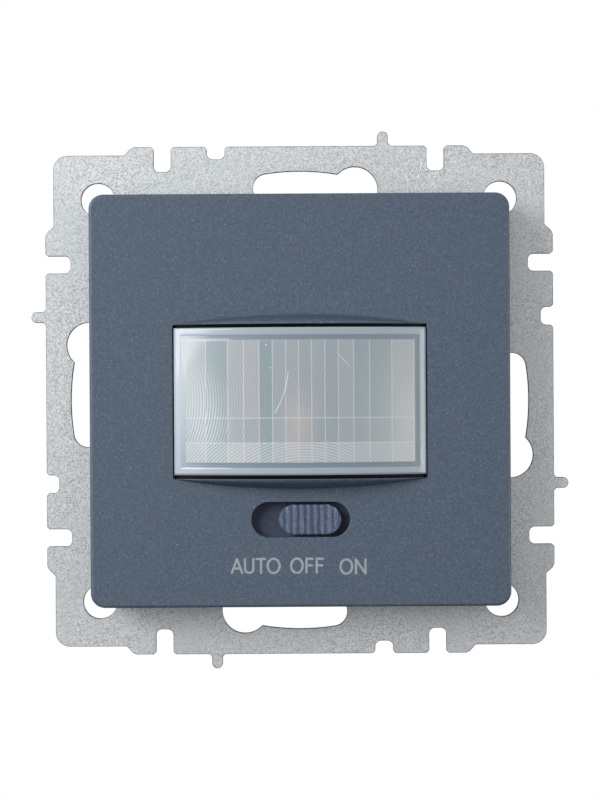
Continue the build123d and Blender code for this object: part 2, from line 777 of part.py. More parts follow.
# Rear housing: a cup that goes into the wall box
with BuildPart() as rear_housing:
    with BuildSketch(at(cup_rear)):
        RectangleRounded(body_side, body_side, body_corner_radius)
    extrude(amount=cup_depth)
    chamfer(rear_housing.edges().group_by(Axis.Y)[-1], cup_edge)
    with BuildSketch(at(cup_inside)):
        RectangleRounded(inside_side, inside_side, inside_corner_radius)
    extrude(amount=cup_depth - cup_floor, mode=Mode.SUBTRACT)
    # Posts under the corners of the sensor board, and rests under the power board
    with BuildSketch(at(cup_inside)):
        with GridLocations(2 * stop_place, 2 * stop_place, 2, 2):
            Rectangle(stop_side, stop_side)
    extrude(amount=cup_depth - cup_floor)
    with BuildSketch(at(cup_inside)):
        with GridLocations(inside_side - board_rest_depth, board_rest_spacing, 2, 2):
            Rectangle(board_rest_depth, board_rest_width)
    extrude(amount=power_board_rear - cup_inside)
    # Two deep counterbores for the long screws
    with BuildSketch(at(cup_rear)):
        with Locations(*housing_screw_places):
            Circle(housing_screw_radius + slip_gap)
    extrude(amount=cup_depth, mode=Mode.SUBTRACT)
    with BuildSketch(at(cup_rear)):
        with Locations(*housing_screw_places):
            Circle(housing_screw_head_radius + slip_gap)
    extrude(amount=counterbore_depth, mode=Mode.SUBTRACT)
    # The notch low at the rear that the terminal block fills
    with BuildSketch(at(cup_rear - overrun)):
        with Locations((0, terminal_middle - overrun / 2 + close_gap / 2)):
            Rectangle(terminal_width + 2 * close_gap, terminal_block_height + overrun + close_gap)
    extrude(amount=power_board_rear - cup_rear + overrun, mode=Mode.SUBTRACT)
rear_housing.part.label = "rear_housing"
export_step(rear_housing.part, "parts/rear_housing.step")

# Two long screws from the rear, through the cup's posts into the carrier
with BuildPart() as housing_screws:
    with BuildSketch(at(screw_seat)):
        with Locations(*housing_screw_places):
            Circle(housing_screw_head_radius)
    extrude(amount=-housing_screw_head_height)
    with BuildSketch(at(screw_seat)):
        with Locations(*housing_screw_places):
            Circle(housing_screw_radius)
    extrude(amount=sensor_board_height + housing_screw_bite - screw_seat)
    housing_recess = housing_screw_head_radius * screw_recess_share
    with BuildSketch(at(screw_seat - housing_screw_head_height)):
        with Locations(*housing_screw_places):
            Rectangle(housing_screw_head_radius, housing_recess)
            Rectangle(housing_recess, housing_screw_head_radius)
    extrude(amount=housing_recess, mode=Mode.SUBTRACT)
housing_screws.part.label = "housing_screws"
export_step(housing_screws.part, "parts/housing_screws.step")

# Power board, cut away around the cup's corner posts
with BuildPart() as power_board:
    with BuildSketch(at(power_board_rear)):
        RectangleRounded(board_side, board_side, board_corner_radius)
        with GridLocations(2 * stop_place, 2 * stop_place, 2, 2):
            Rectangle(stop_side + 2 * slip_gap, stop_side + 2 * slip_gap, mode=Mode.SUBTRACT)
    extrude(amount=board_thickness)
power_board.part.label = "power_board"
export_step(power_board.part, "parts/power_board.step")

# Relay and film capacitor: sealed boxes with slanted edges
with BuildPart() as relay:
    with BuildSketch(at(power_board_rear)):
        with Locations((relay_x, relay_z)):
            Rectangle(relay_length, relay_width)
    extrude(amount=-relay_height)
    chamfer(relay.edges().group_by(Axis.Y)[-1], part_edge)
relay.part.label = "relay"
export_step(relay.part, "parts/relay.step")

with BuildPart() as film_capacitor:
    with BuildSketch(at(power_board_rear)):
        with Locations((film_x, film_z)):
            Rectangle(film_length, film_width)
    extrude(amount=-film_height)
    chamfer(film_capacitor.edges().group_by(Axis.Y)[-1], part_edge)
film_capacitor.part.label = "film_capacitor"
export_step(film_capacitor.part, "parts/film_capacitor.step")

# Electrolytic capacitor: an upright can
with BuildPart() as electrolytic_capacitor:
    with BuildSketch(at(power_board_rear)):
        with Locations((electrolytic_x, electrolytic_z)):
            Circle(electrolytic_radius)
    extrude(amount=-electrolytic_height)
    chamfer(electrolytic_capacitor.edges().group_by(Axis.Y)[-1], part_edge)
electrolytic_capacitor.part.label = "electrolytic_capacitor"
export_step(electrolytic_capacitor.part, "parts/electrolytic_capacitor.step")

# Varistor: a coated disc that stands on two leads
varistor_height = power_board_rear - varistor_lead_rise - varistor_radius
with BuildPart() as varistor:
    with BuildSketch(Plane.YZ.offset(varistor_x - varistor_thickness / 2)):
        with Locations((-varistor_height, varistor_z)):
            Circle(varistor_radius)
    extrude(amount=varistor_thickness)
    chamfer(varistor.edges().filter_by(GeomType.CIRCLE), part_edge)
    with BuildSketch(at(varistor_height)):
        with Locations((varistor_x, varistor_z)):
            with GridLocations(0, varistor_radius, 1, 2):
                Rectangle(lead_side, lead_side)
    extrude(amount=power_board_rear - varistor_height)
varistor.part.label = "varistor"
export_step(varistor.part, "parts/varistor.step")

# Fusible resistor: a round body lying on the board, with a wire bent down to it at each end
fusible_height = power_board_rear - fusible_radius - close_gap
wire_reach = fusible_length / 2 + fusible_radius / 2
with BuildPart() as fusible_resistor:
    with BuildSketch(Plane.YZ.offset(fusible_x - fusible_length / 2)):
        with Locations((-fusible_height, fusible_z)):
            Circle(fusible_radius)
    extrude(amount=fusible_length)
    chamfer(fusible_resistor.edges().filter_by(GeomType.CIRCLE), part_edge)
    with BuildLine(Plane.XY.offset(fusible_z)):
        Polyline(
            (fusible_x - wire_reach, -power_board_rear),
            (fusible_x - wire_reach, -fusible_height),
            (fusible_x + wire_reach, -fusible_height),
            (fusible_x + wire_reach, -power_board_rear),
        )
    with BuildSketch(at(power_board_rear)):
        with Locations((fusible_x - wire_reach, fusible_z)):
            Rectangle(lead_side, lead_side)
    sweep(transition=Transition.RIGHT)
fusible_resistor.part.label = "fusible_resistor"
export_step(fusible_resistor.part, "parts/fusible_resistor.step")

# Four rectifier diodes: small boxes with a metal tab at each end
with BuildPart() as rectifier_diodes:
    with BuildSketch(at(power_board_rear)):
        with Locations((diode_x, diode_z)):
            with GridLocations(diode_pitch_x, diode_pitch_z, 2, 2):
                Rectangle(diode_length, diode_width)
    extrude(amount=-diode_height)
    chamfer(rectifier_diodes.edges().group_by(Axis.Y)[-1], part_edge)
    with BuildSketch(at(power_board_rear)):
        with Locations((diode_x, diode_z)):
            with GridLocations(diode_pitch_x, diode_pitch_z, 2, 2):
                Rectangle(diode_length + 2 * diode_tab_reach, diode_tab_width)
    extrude(amount=-diode_height / 2)
rectifier_diodes.part.label = "rectifier_diodes"
export_step(rectifier_diodes.part, "parts/rectifier_diodes.step")

# Driver transistor: a half-round body on three leads
with BuildPart() as driver_transistor:
    with BuildSketch(at(power_board_rear - transistor_lead_rise)):
        with Locations((transistor_x, transistor_z)):
            Circle(transistor_radius)
            with Locations((0, transistor_flat + transistor_radius / 2)):
                Rectangle(2 * transistor_radius, transistor_radius, mode=Mode.SUBTRACT)
    extrude(amount=-transistor_height)
    with BuildSketch(at(power_board_rear - transistor_lead_rise)):
        with Locations((transistor_x, transistor_z)):
            with GridLocations(transistor_lead_pitch, 0, transistor_lead_count, 1):
                Rectangle(lead_side, lead_side)
    extrude(amount=transistor_lead_rise)
driver_transistor.part.label = "driver_transistor"
export_step(driver_transistor.part, "parts/driver_transistor.step")

# Terminal block: round wire entries from the rear, and screws reached from below
with BuildPart() as terminal_block:
    with BuildSketch(at(terminal_rear)):
        with Locations((0, terminal_middle)):
            Rectangle(terminal_width, terminal_block_height)
    extrude(amount=power_board_rear - terminal_rear)
    with BuildSketch(at(terminal_rear)):
        with Locations((0, terminal_middle)):
            with GridLocations(terminal_pitch, 0, terminal_count, 1):
                Circle(wire_entry_radius)
    extrude(amount=wire_entry_length, mode=Mode.SUBTRACT)
    with BuildSketch(at(terminal_rear + wire_entry_length)):
        with Locations((0, terminal_middle)):
            with GridLocations(terminal_pitch, 0, terminal_count, 1):
                Rectangle(clamp_width + 2 * close_gap, clamp_rise + 2 * slip_gap)
    extrude(amount=clamp_depth + 2 * slip_gap, mode=Mode.SUBTRACT)
    with BuildSketch(Plane.XY.offset(terminal_bottom)):
        with Locations((0, -clamp_rear - clamp_depth / 2)):
            with GridLocations(terminal_pitch, 0, terminal_count, 1):
                Circle(clamp_screw_head_radius + close_gap)
    extrude(amount=clamp_bottom - terminal_bottom, mode=Mode.SUBTRACT)
terminal_block.part.label = "terminal_block"
export_step(terminal_block.part, "parts/terminal_block.step")

# Three clamping cages, each with a threaded hole in its floor
with BuildPart() as terminal_clamps:
    with BuildSketch(at(clamp_rear)):
        with Locations((0, terminal_middle)):
            with GridLocations(terminal_pitch, 0, terminal_count, 1):
                Rectangle(clamp_width, clamp_rise)
                Rectangle(clamp_width - 2 * clamp_wall, clamp_rise - 2 * clamp_wall, mode=Mode.SUBTRACT)
    extrude(amount=clamp_depth)
    with BuildSketch(Plane.XY.offset(clamp_bottom)):
        with Locations((0, -clamp_rear - clamp_depth / 2)):
            with GridLocations(terminal_pitch, 0, terminal_count, 1):
                Circle(clamp_screw_radius + thread_gap)
    extrude(amount=clamp_wall, mode=Mode.SUBTRACT)
terminal_clamps.part.label = "terminal_clamps"
export_step(terminal_clamps.part, "parts/terminal_clamps.step")

# Three clamping screws with slotted heads
with BuildPart() as terminal_screws:
    with BuildSketch(Plane.XY.offset(terminal_bottom + clamp_screw_recess)):
        with Locations((0, -clamp_rear - clamp_depth / 2)):
            with GridLocations(terminal_pitch, 0, terminal_count, 1):
                Circle(clamp_screw_head_radius)
    extrude(amount=clamp_screw_head_height)
    with BuildSketch(Plane.XY.offset(terminal_bottom + clamp_screw_recess)):
        with Locations((0, -clamp_rear - clamp_depth / 2)):
            with GridLocations(terminal_pitch, 0, terminal_count, 1):
                Circle(clamp_screw_radius)
    extrude(amount=clamp_screw_head_height + clamp_screw_length)
    clamp_recess = clamp_screw_head_radius * screw_recess_share
    with BuildSketch(Plane.XY.offset(terminal_bottom + clamp_screw_recess)):
        with Locations((0, -clamp_rear - clamp_depth / 2)):
            with GridLocations(terminal_pitch, 0, terminal_count, 1):
                Rectangle(2 * clamp_screw_head_radius, clamp_recess)
    extrude(amount=clamp_recess, mode=Mode.SUBTRACT)
terminal_screws.part.label = "terminal_screws"
export_step(terminal_screws.part, "parts/terminal_screws.step")
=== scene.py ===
"""Looks for a flush wall switch with a motion sensor, a bowed Fresnel lens and a three-position slider.

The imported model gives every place. The front faces -Y, +Z is up, and lengths are metres, from millimetres
times mm. A height is a distance from the wall towards the room, as in the part's own source.
"""

import math

import bmesh
import bpy
import numpy as np
from mathutils import Euler, Matrix, Vector


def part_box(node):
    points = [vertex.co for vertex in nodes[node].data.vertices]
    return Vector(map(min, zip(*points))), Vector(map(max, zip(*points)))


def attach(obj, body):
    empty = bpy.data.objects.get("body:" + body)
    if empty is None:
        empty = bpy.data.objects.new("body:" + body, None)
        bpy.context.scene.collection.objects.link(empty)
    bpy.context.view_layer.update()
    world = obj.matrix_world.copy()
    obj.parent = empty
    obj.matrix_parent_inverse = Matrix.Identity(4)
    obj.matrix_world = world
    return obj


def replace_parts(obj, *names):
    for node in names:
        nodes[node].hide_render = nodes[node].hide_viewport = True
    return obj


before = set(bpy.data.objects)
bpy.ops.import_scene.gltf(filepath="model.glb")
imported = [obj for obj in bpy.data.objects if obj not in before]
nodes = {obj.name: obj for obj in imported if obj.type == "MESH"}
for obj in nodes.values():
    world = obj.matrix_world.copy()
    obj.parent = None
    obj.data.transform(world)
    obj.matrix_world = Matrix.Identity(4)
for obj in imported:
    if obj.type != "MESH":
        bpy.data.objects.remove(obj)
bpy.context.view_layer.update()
mm = 0.001


# Colours and nodes


def linear(hex_code):
    """An sRGB hex colour as linear RGBA: divide by 12.92 in the toe, else the 2.4 power curve."""
    values = [int(hex_code[i : i + 2], 16) / 255 for i in (1, 3, 5)]
    return (*(v / 12.92 if v <= 0.04045 else ((v + 0.055) / 1.055) ** 2.4 for v in values), 1.0)


def feed(tree, node, inputs):
    """Set a node's inputs. Each is a number, a hex colour, an output, or a node, whose first live output is
    taken. An input goes by its name, or by its place among the live ones where two share a name."""
    live = [socket for socket in node.inputs if socket.enabled]
    for key, value in inputs.items():
        socket = live[key] if isinstance(key, int) else next(s for s in live if s.name == key)
        if isinstance(value, bpy.types.Node):
            value = next(output for output in value.outputs if output.enabled)
        if isinstance(value, bpy.types.NodeSocket):
            tree.links.new(value, socket)
        else:
            socket.default_value = linear(value) if isinstance(value, str) else value


def add(tree, kind, inputs=None, stops=(), **settings):
    """Add one node with its settings and links. Stops are a colour ramp's places and hex colours."""
    node = tree.nodes.new("ShaderNode" + kind)
    for name, value in settings.items():
        setattr(node, name, value)
    feed(tree, node, inputs or {})
    for index, (position, hex_code) in enumerate(stops):
        element = node.color_ramp.elements[index] if index < 2 else node.color_ramp.elements.new(position)
        element.position = position
        element.color = linear(hex_code)
    return node


def surface(name):
    """A new material, its node tree and its Principled shader."""
    material = bpy.data.materials.new(name)
    material.use_nodes = True
    return material, material.node_tree, material.node_tree.nodes["Principled BSDF"]


def grain(tree, size_mm, detail=2.0):
    """Noise from 0 to 1 on Object coordinates. A spot is half a wave, so the scale is 0.5 over its size."""
    place = add(tree, "TexCoord").outputs["Object"]
    return add(tree, "TexNoise", {"Vector": place, "Scale": 0.5 / (size_mm * mm), "Detail": detail})


def moulded(name, dark, light, size_mm, rough, depth_mm=0.01, ior=1.5, metallic=0.0):
    """A moulded or dipped surface: two near shades in a fine grain, with a faint relief of the same grain."""
    material, tree, shader = surface(name)
    spots = grain(tree, size_mm)
    shade = add(tree, "ValToRGB", {"Fac": spots}, stops=[(0.35, dark), (0.65, light)])
    bump = add(tree, "Bump", {"Height": spots, "Distance": depth_mm * mm})
    feed(
        tree,
        shader,
        {"Base Color": shade, "Normal": bump, "IOR": ior, "Roughness": rough, "Metallic": metallic},
    )
    return material


# Slate-coloured ABS with a fine metallic flake: an eggshell skin from a spark-eroded mould, with small dull
# glints. The flakes are 0.05 mm, and are drawn 0.15 mm wide so that they show.
flake_spacing = 0.42 * mm
slate_abs, tree, shader = surface("slate_flake_abs")
skin = grain(tree, 0.16, 3.0)
slate = add(tree, "ValToRGB", {"Fac": skin}, stops=[(0.35, "#394656"), (0.65, "#4b596b")])
place = add(tree, "TexCoord").outputs["Object"]
flakes = add(tree, "TexVoronoi", {"Vector": place, "Scale": 1 / flake_spacing})
flake_seed = add(tree, "SeparateColor", {"Color": flakes.outputs["Color"]})
flake_shows = add(tree, "Math", {0: flake_seed, 1: 0.7}, operation="GREATER_THAN")
flake_fade = add(
    tree, "MapRange", {"Value": flakes, "From Min": 0.12, "From Max": 0.26, "To Min": 0.45, "To Max": 0.0}
)
flake_part = add(tree, "Math", {0: flake_fade, 1: flake_shows}, operation="MULTIPLY")
shade = add(tree, "Mix", {"Factor": flake_part, "A": slate, "B": "#8797a8"}, data_type="RGBA")
bump = add(tree, "Bump", {"Height": grain(tree, 0.16), "Distance": 0.014 * mm})
feed(tree, shader, {"Base Color": shade, "Normal": bump, "IOR": 1.53, "Roughness": 0.5})

# The same plastic in its recesses, darker as painted shade, with no flake and a duller skin
slate_painted_shade = moulded("slate_abs_painted_shade", "#262f42", "#333c53", 0.2, 0.65)

# And on the slider's pad: the same plastic painted lighter than the cover as a painted highlight, and a
# little glossier
slate_pad_highlight = moulded("slate_abs_pad_highlight", "#46546a", "#606e85", 0.16, 0.42, 0.014)

# Zinc-plated steel sheet, punched and tumbled: a grey satin with a fine sparkling grain of about 0.1 mm
zinc_steel, tree, shader = surface("zinc_plated_steel")
speckle = grain(tree, 0.09, 4.0)
zinc = add(tree, "ValToRGB", {"Fac": speckle}, stops=[(0.33, "#6f7274"), (0.6, "#cdd0d2")])
clouds = grain(tree, 5.0, 3.0)
shade = add(tree, "Mix", {"Factor": clouds, "A": zinc, "B": "#b4b8bb"}, data_type="RGBA")
satin = add(tree, "MapRange", {"Value": speckle, "To Min": 0.42, "To Max": 0.62})
bump = add(tree, "Bump", {"Height": speckle, "Distance": 0.02 * mm})
feed(tree, shader, {"Base Color": shade, "Roughness": satin, "Normal": bump, "Metallic": 0.9})

# The punched edge of the sheet: torn steel with little zinc left on it, dull and brownish, and drawn darker
# still as painted shade
torn_steel_and_shade, tree, shader = surface("punched_steel_edge_and_shade")
tears = grain(tree, 0.4, 3.0)
shade = add(tree, "ValToRGB", {"Fac": tears}, stops=[(0.35, "#45413c"), (0.65, "#8d8b86")])
bump = add(tree, "Bump", {"Height": tears, "Distance": 0.05 * mm})
feed(tree, shader, {"Base Color": shade, "Normal": bump, "Metallic": 0.5, "Roughness": 0.55})

# Pad-printed ink: a matt pale grey film, thick enough to hide the flake
slate_print = moulded("pad_printed_grey_ink", "#8c9298", "#9ba0a5", 0.2, 0.6)

# Unpainted mouldings behind the cover. ABS and polycarbonate come smooth and satin from the mould, and the
# glass fibre in the polyamides leaves a duller skin with more relief.
# Black ABS, which also serves as painted shade in the gap around the lens
black_abs_and_gap_shade = moulded("black_abs_and_gap_shade", "#141516", "#1d1f21", 0.3, 0.45)
white_pc = moulded("white_polycarbonate", "#dcdcd8", "#e6e6e2", 0.4, 0.4, ior=1.58)
grey_pa = moulded("dark_grey_polyamide", "#26292c", "#33373b", 0.25, 0.5, 0.02)
light_grey_pa = moulded("light_grey_polyamide", "#8a8d90", "#979a9d", 0.25, 0.48, 0.015)

# Zinc-plated screw steel: smoother and brighter than the sheet
screw_zinc = moulded("zinc_plated_screw_steel", "#9a9da0", "#b4b7ba", 0.15, 0.35, 0.006, metallic=1.0)

# The finish of each solid. Cans, pins and clamps are bright with a fine relief, epoxies and lacquers are
# dipped or cast, and the chips' moulding compound is a dull black. After the two shades come the size of the
# grain in millimetres, the roughness, and the relief in millimetres where it isn't 0.01.
finishes = {
    "inner_frame": black_abs_and_gap_shade,
    "chassis": white_pc,
    "rear_housing": grey_pa,
    "terminal_block": light_grey_pa,
    "chassis_screws": screw_zinc,
    "housing_screws": screw_zinc,
    "terminal_screws": screw_zinc,
    "support_plate": zinc_steel,
    "front_cover": slate_abs,
    # The slider's plate shows only deep in the slot: painted shade
    "slider_knob": slate_painted_shade,
    "sensor_board": moulded("solder_resist_on_laminate", "#15402a", "#1b5234", 0.6, 0.35),
    "power_board": moulded("solder_resist_on_laminate_rear", "#15402a", "#1b5234", 0.6, 0.35),
    "pir_sensor": moulded("nickel_plated_can", "#a9a59b", "#bdb9ae", 0.2, 0.25, 0.004),
    "pir_window": moulded("coated_silicon_window", "#4a3d44", "#5a4a52", 0.5, 0.15, 0.002),
    "light_sensor": moulded("clear_epoxy", "#c9ccd0", "#d9dce0", 0.5, 0.08, 0.002),
    "indicator_led": moulded("red_epoxy", "#a1120f", "#c11a14", 0.5, 0.1, 0.002),
    "slide_switch_body": moulded("tinned_switch_shell", "#9b9d9e", "#b1b3b4", 0.2, 0.3, 0.004),
    "slide_switch_lever": moulded("black_polyacetal", "#101112", "#191a1b", 0.3, 0.35),
    "slide_switch_pins": moulded("tinned_brass_pins", "#a8a7a2", "#bbbab5", 0.2, 0.3, 0.004),
    "time_trimmer_body": moulded("blue_trimmer_resin", "#1d3f86", "#27509f", 0.3, 0.3),
    "lux_trimmer_body": moulded("blue_trimmer_resin_right", "#1d3f86", "#27509f", 0.3, 0.3),
    "time_trimmer_dial": moulded("ivory_dial_resin", "#d8d3bf", "#e5e0cd", 0.3, 0.4),
    "lux_trimmer_dial": moulded("ivory_dial_resin_right", "#d8d3bf", "#e5e0cd", 0.3, 0.4),
    "control_chip": moulded("black_moulding_epoxy", "#17181a", "#222427", 0.15, 0.55),
    "board_header": moulded("black_header_polyester", "#131415", "#1c1d1f", 0.3, 0.45),
    "relay": moulded("blue_relay_case", "#17397f", "#1f4796", 0.4, 0.25),
    "electrolytic_capacitor": moulded("shrunk_vinyl_sleeve", "#12182b", "#1b2340", 0.5, 0.3),
    "film_capacitor": moulded("yellow_film_case", "#c08a1c", "#d09a28", 0.4, 0.3),
    "varistor": moulded("dipped_blue_epoxy", "#1a4b94", "#245aa8", 0.5, 0.35, 0.02),
    "fusible_resistor": moulded("green_flameproof_lacquer", "#4f8468", "#5f977a", 0.3, 0.6, 0.015),
    "rectifier_diodes": moulded("black_diode_epoxy", "#151617", "#1f2022", 0.15, 0.5),
    "driver_transistor": moulded("black_transistor_epoxy", "#151617", "#1f2022", 0.15, 0.5),
    "terminal_clamps": moulded("brass_clamp_strip", "#b08d45", "#c6a45a", 0.2, 0.3, 0.004),
}
for name, material in finishes.items():
    nodes[name].data.materials.clear()
    nodes[name].data.materials.append(material)


# Rigid pieces with softened edges
flat_angle = math.radians(0.5)
edge_angle = math.radians(25)
broad_side = 4 * mm
same_point = 0.001 * mm
bevel_steps = 3


def soften(node, body, edge_mm, top=None):
    """A copy of a CAD node, welded, its flat faces made whole, and its sharp edges rounded. What stands
    higher than the top is pressed down to it, because a piece of its own takes that place."""
    mesh = nodes[node].data.copy()
    if top is not None:
        places = np.zeros((len(mesh.vertices), 3), np.float32)
        mesh.vertices.foreach_get("co", places.ravel())
        places[:, 1] = np.maximum(places[:, 1], -top)
        mesh.vertices.foreach_set("co", places.ravel())
    work = bmesh.new()
    work.from_mesh(mesh)
    bmesh.ops.remove_doubles(work, verts=work.verts, dist=same_point)
    bmesh.ops.dissolve_limit(work, angle_limit=flat_angle, verts=work.verts, edges=work.edges)
    # Broad flat faces keep their own normal: every edge of one is sharp
    for edge in work.edges:
        areas = [face.calc_area() for face in edge.link_faces]
        edge.smooth = max(areas) < broad_side**2 and edge.calc_face_angle(0) < edge_angle
    for face in work.faces:
        face.smooth = True
    work.to_mesh(mesh)
    work.free()
    piece = bpy.data.objects.new(node + "_finished", mesh)
    bpy.context.scene.collection.objects.link(piece)
    bevel = piece.modifiers.new("soft_edges", "BEVEL")
    bevel.width = edge_mm * mm
    bevel.segments = bevel_steps
    bevel.limit_method = "ANGLE"
    bevel.angle_limit = edge_angle
    bevel.harden_normals = True
    bevel.material = 0
    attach(piece, body)
    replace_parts(piece, node)
    return piece


cover_front = 10.5 * mm
knob_front = 10.8 * mm
rib_height = 0.4 * mm
under_ribs = 1.5 * rib_height
plate = soften("support_plate", "base", edge_mm=0.1)
cover = soften("front_cover", "base", edge_mm=0.15, top=cover_front)
soften("slider_knob", "slider", edge_mm=0.1, top=knob_front - under_ribs)
soften("chassis", "base", edge_mm=0.15)
soften("rear_housing", "base", edge_mm=0.2)
soften("terminal_block", "base", edge_mm=0.2)

# The plate's walls are torn, and so is their edge, and both are drawn darker as painted shade. A wall's
# normal lies nearly in the plate's own plane.
wall_normal = 0.5
plate.data.materials.append(torn_steel_and_shade)
for face in plate.data.polygons:
    if abs(face.normal.y) < wall_normal:
        face.material_index = 1
plate.modifiers["soft_edges"].material = 1

# The walls of the window and the slot, and all that lies behind them, take the painted shade of the recesses
outer_wall = 1.0 * mm
front_skin = 0.1 * mm
cover.data.materials.append(slate_painted_shade)
cover_low, cover_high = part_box("front_cover")
for face in cover.data.polygons:
    middle = face.center
    inside = all(cover_low[i] + outer_wall < middle[i] < cover_high[i] - outer_wall for i in (0, 2))
    if inside and -middle.y < cover_front - front_skin:
        face.material_index = 1


# Surfaces on a grid
crease_angle = math.radians(30)
seam_gap = 0.0005 * mm
least_edge = 0.0001 * mm


def grid_faces(rows, columns):
    """Quads of a grid whose vertices are stored row by row."""
    corner = (np.arange(rows - 1)[:, None] * columns + np.arange(columns - 1)).ravel()
    return np.stack([corner, corner + 1, corner + columns + 1, corner + columns], axis=1)


def weld(mesh):
    """Join points that lie together, so that seams close and collapsed faces go."""
    work = bmesh.new()
    work.from_mesh(mesh)
    bmesh.ops.remove_doubles(work, verts=work.verts, dist=seam_gap)
    bmesh.ops.dissolve_degenerate(work, edges=work.edges, dist=least_edge)
    bmesh.ops.recalc_face_normals(work, faces=work.faces)
    work.to_mesh(mesh)
    work.free()


def finished(name, mesh, body):
    """An object of a closed mesh, smooth but for the edges past the crease angle, riding on a body."""
    weld(mesh)
    mesh.polygons.foreach_set("use_smooth", [True] * len(mesh.polygons))
    mesh.set_sharp_from_angle(angle=crease_angle)
    piece = bpy.data.objects.new(name, mesh)
    bpy.context.scene.collection.objects.link(piece)
    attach(piece, body)
    return piece


def grid_mesh(name, grid, *materials):
    """A mesh of a grid of points, given as rows of columns of x, y and z."""
    mesh = bpy.data.meshes.new(name)
    mesh.from_pydata(grid.reshape(-1, 3), [], grid_faces(*grid.shape[:2]).tolist())
    for material in materials:
        mesh.materials.append(material)
    return mesh


# The brows over and under the window
window_half_width = 17.35 * mm
window_edges = {"upper": (10.35 * mm, 1), "lower": (-10.65 * mm, -1)}
bow = 3.6 * mm
brow_height = 1.4 * mm
brow_root = 0.2 * mm
brow_edge = 0.12 * mm
brow_power = 1.7
brow_rows = 61
brow_columns = 11


def chord_rise(x, half_width, rise):
    """Height of a circular arc over its chord: the root of the radius squared less x squared, less the drop
    from the circle's centre to the chord."""
    radius = (half_width**2 + rise**2) / (2 * rise)
    return np.sqrt(radius**2 - x**2) - (radius - rise)


def brow(name, edge_z, side):
    """A closed solid on the cover's face. Its rise over the face is a circular arc along x. Across, it is a
    quarter of a superellipse, (out / width)^power + (height / rise)^power = 1, from the window's edge, after
    a small round there. Its width is the rise's share of the brow's height."""
    x = window_half_width * np.sin(np.radians(np.linspace(-90, 90, brow_rows)))[:, None]
    rise = np.clip(chord_rise(x, window_half_width, bow), 0, None)
    width = brow_height * rise / bow
    edge = np.minimum(brow_edge, width / 4)
    rounding = np.radians([0, 30, 60])
    across = np.radians(np.linspace(0, 90, brow_columns))
    high = np.clip(np.cos(across), 0, 1) ** (2 / brow_power)
    wide = np.sin(across) ** (2 / brow_power)
    root = np.full_like(x, -brow_root)
    height = np.concatenate(
        [root, rise - edge + edge * np.sin(rounding), rise * high, root, root], axis=1
    )
    out = np.concatenate(
        [0 * x, edge - edge * np.cos(rounding), edge + (width - edge) * wide, width, 0 * x], axis=1
    )
    grid = np.stack([x + 0 * out, -cover_front - height, edge_z + side * out], axis=-1)
    mesh = grid_mesh(name, grid, slate_abs, slate_painted_shade)
    # The brow's wall at the window's edge takes the painted shade of the recesses
    wall = np.zeros((grid.shape[0] - 1, grid.shape[1] - 1), np.int32)
    wall[:, 0] = 1
    mesh.polygons.foreach_set("material_index", wall.ravel())
    return finished(name, mesh, "base")


for place_name, (edge_z, side) in window_edges.items():
    brow("brow_" + place_name, edge_z, side)

# The ribbed pad of the slider
knob_low, knob_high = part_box("slider_knob")
knob_x = (knob_low.x + knob_high.x) / 2
knob_z = (knob_low.z + knob_high.z) / 2
knob_length = 8.5 * mm
knob_end_radius = 2.05 * mm
knob_edge_radius = 0.35 * mm
knob_end_steps = 40
knob_run_steps = 108
knob_cross_steps = 41
rib_pitch = 0.94 * mm
rib_rise = 0.42 * mm
pad_foot = knob_front - 2 * rib_height
crest_rounding = 0.9
whole_rounding = 0.4


def knob_pad():
    """A closed solid with round ends. Its top lies under the front by the ribs' wave, their rise times
    |sin(pi x / pitch)|. Its edge drops as a circle of the distance to the outline: by one share of that drop
    all over, and by the crest's share of it where this is deeper than the wave."""
    straight = knob_length / 2 - knob_end_radius
    bend = knob_end_radius * np.sin(np.radians(np.linspace(0, 90, knob_end_steps)))[1:]
    run = np.linspace(-straight, straight, knob_run_steps)
    x = np.concatenate([-straight - bend[::-1], run, straight + bend])[:, None]
    past = np.clip(np.abs(x) - straight, 0, None)
    half_width = np.sqrt(np.clip(knob_end_radius**2 - past**2, 0, None))
    z = half_width * np.sin(np.radians(np.linspace(-90, 90, knob_cross_steps)))
    depth_in = np.clip(knob_end_radius - np.hypot(past, z), 0, knob_edge_radius)
    drop = knob_edge_radius - np.sqrt(knob_edge_radius**2 - (knob_edge_radius - depth_in) ** 2)
    wave = rib_rise * np.abs(np.sin(math.pi * x / rib_pitch))
    top = knob_front - np.maximum(wave, crest_rounding * drop) - whole_rounding * drop
    foot = np.full_like(half_width, pad_foot)
    height = np.concatenate([foot, top, foot], axis=1)
    z = np.concatenate([z[:, :1], z, z[:, -1:]], axis=1)
    grid = np.stack([knob_x + x + 0 * z, -height, knob_z + z], axis=-1)
    under = grid[:, [-1, 0]]
    return np.concatenate([grid, under[:, 1:]], axis=1)


finished("slider_pad", grid_mesh("slider_pad", knob_pad(), slate_pad_highlight), "slider")


# Fresnel lens. Its sizes are those of the part's source, with two changes. What shows of it is up to 0.2 mm
# smaller, so that the gap around it is as wide as in the photograph. The facets lie a little lower, so that
# the thin ridges between them reach no further than the rim.
lens_low, lens_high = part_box("fresnel_lens")
flange = 1.2 * mm
flange_thickness = 0.9 * mm
side_gap = 0.1 * mm
end_gap = 0.175 * mm
raised = 0.045 * mm
half_width = lens_high.x - flange - side_gap
half_height = (lens_high.z - lens_low.z) / 2 - flange - end_gap
middle_z = (lens_high.z + lens_low.z) / 2 + raised
rear = -lens_high.y
peak = -lens_low.y
edge_radius = 0.12 * mm
rim = 0.75 * mm
channel = 0.9 * mm
channel_depth = 0.02 * mm
wall = 0.2 * mm
ridge = 0.1 * mm
facet_drop = 0.004 * mm
shell = 1.0 * mm
ring_pitch = 0.38 * mm
field_half_width = half_width - rim - channel
field_half_height = half_height - rim - channel
